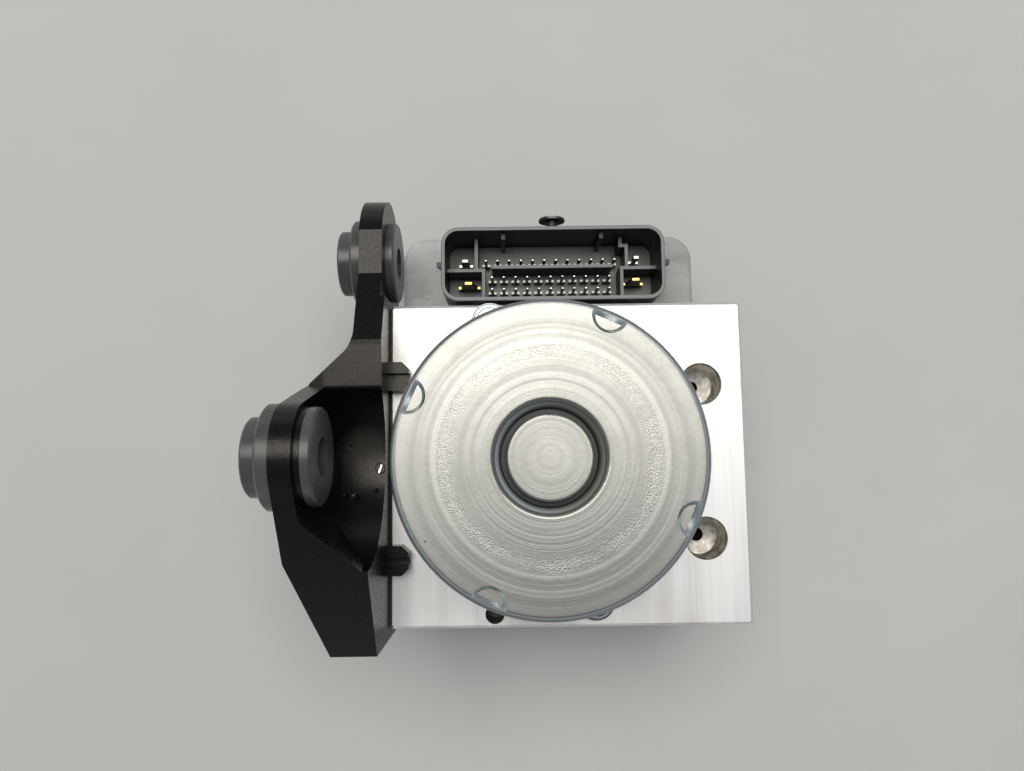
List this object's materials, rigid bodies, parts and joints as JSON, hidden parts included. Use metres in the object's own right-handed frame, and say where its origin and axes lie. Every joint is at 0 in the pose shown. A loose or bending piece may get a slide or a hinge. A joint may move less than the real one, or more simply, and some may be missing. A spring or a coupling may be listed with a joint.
{
  "type": "anti-lock brake module",
  "caption": "Brake control module: aluminium valve block with a round pump motor on top, a control unit with connector header below, and a cast bracket with rubber bushes.",
  "frame": {"origin": "centre of the motor axis on the flat underside of the control unit", "axes": "+Z along the motor axis away from the control unit, +Y towards the connector header, +X away from the bracket"},
  "size_m": [0.1272, 0.1256, 0.125],
  "materials": {
    "block_aluminium": "milled",
    "can_zinc_steel": "satin zinc plate",
    "bracket_black_paint": "satin black paint on a casting",
    "bush_rubber": "semi-gloss",
    "screw_zinc": "zinc plate",
    "ecu_plastic": "moulded",
    "seal_rubber": "matte",
    "board_green": "solder mask",
    "component_black": "moulded",
    "pin_tin": "tin plate",
    "pin_gold": "gold flash",
    "valve_steel": "turned",
    "coil_body": "moulded",
    "hard_steel": "ground",
    "piston_aluminium": "turned",
    "lamination_steel": "stacked sheet",
    "winding_copper": "enamelled copper",
    "magnet_ferrite": "sintered",
    "holder_plastic": "moulded",
    "brush_carbon": "carbon"
  },
  "bodies": {
    "module": {"accumulator_cap_left": "hard_steel", "accumulator_cap_right": "hard_steel", "accumulator_spring_left": "hard_steel", "accumulator_spring_right": "hard_steel", "bracket_bush_lower": "bush_rubber", "bracket_bush_upper": "bush_rubber", "bracket_screws": "screw_zinc", "brush_holder": "holder_plastic", "brush_springs": "hard_steel", "brushes": "brush_carbon", "changeover_valve_1": "valve_steel", "changeover_valve_2": "valve_steel", "circuit_board": "board_green", "circuit_components": "component_black", "ecu_cover": "ecu_plastic", "ecu_housing": "ecu_plastic", "ecu_screws": "screw_zinc", "ecu_seal": "seal_rubber", "front_bearing_balls": "hard_steel", "front_bearing_outer": "hard_steel", "gallery_plugs": "hard_steel", "high_pressure_valve_1": "valve_steel", "high_pressure_valve_2": "valve_steel", "hydraulic_block": "block_aluminium", "inlet_valve_1": "valve_steel", "inlet_valve_2": "valve_steel", "inlet_valve_3": "valve_steel", "inlet_valve_4": "valve_steel", "motor_can": "can_zinc_steel", "motor_magnets": "magnet_ferrite", "motor_screws": "screw_zinc", "motor_shield": "can_zinc_steel", "motor_terminals": "pin_gold", "mounting_bracket": "bracket_black_paint", "outlet_valve_1": "valve_steel", "outlet_valve_2": "valve_steel", "outlet_valve_3": "valve_steel", "outlet_valve_4": "valve_steel", "power_pins": "pin_gold", "pressure_sensor": "valve_steel", "pump_plug_left": "hard_steel", "pump_plug_right": "hard_steel", "pump_sleeve_left": "hard_steel", "pump_sleeve_right": "hard_steel", "pump_spring_left": "hard_steel", "pump_spring_right": "hard_steel", "rear_bearing": "hard_steel", "shaft_seal": "seal_rubber", "signal_pins": "pin_tin", "valve_coils": "coil_body"},
    "rotor": {"rotor_shaft": "hard_steel", "rotor_core": "lamination_steel", "rotor_windings": "winding_copper", "commutator": "winding_copper", "front_bearing_inner": "hard_steel"},
    "eccentric_ring": {"eccentric_ring": "hard_steel"},
    "pump_piston_left": {"pump_piston_left": "hard_steel"},
    "pump_piston_right": {"pump_piston_right": "hard_steel"},
    "accumulator_piston_left": {"accumulator_piston_left": "piston_aluminium"},
    "accumulator_piston_right": {"accumulator_piston_right": "piston_aluminium"}
  },
  "joints": [
    {"name": "rotor_spin", "type": "hinge", "parent": "module", "child": "rotor", "pos_m": [0, 0, 0.1], "axis": [0, 0, 1], "continuous": true},
    {"name": "eccentric_ring_spin", "type": "hinge", "parent": "rotor", "child": "eccentric_ring", "pos_m": [0, 0.0015, 0.0595], "axis": [0, 0, 1], "continuous": true},
    {"name": "pump_piston_left_slide", "type": "slide", "parent": "module", "child": "pump_piston_left", "axis": [1, 0, 0], "range_m": [0, 0.0015], "stiffness_N_per_m": 600, "deforming": ["pump_spring_left"]},
    {"name": "pump_piston_right_slide", "type": "slide", "parent": "module", "child": "pump_piston_right", "axis": [-1, 0, 0], "range_m": [0, 0.0015], "stiffness_N_per_m": 600, "deforming": ["pump_spring_right"]},
    {"name": "accumulator_piston_left_slide", "type": "slide", "parent": "module", "child": "accumulator_piston_left", "axis": [0, 1, 0], "range_m": [0, 0.005], "stiffness_N_per_m": 1500, "deforming": ["accumulator_spring_left"]},
    {"name": "accumulator_piston_right_slide", "type": "slide", "parent": "module", "child": "accumulator_piston_right", "axis": [0, 1, 0], "range_m": [0, 0.005], "stiffness_N_per_m": 1500, "deforming": ["accumulator_spring_right"]}
  ]
}
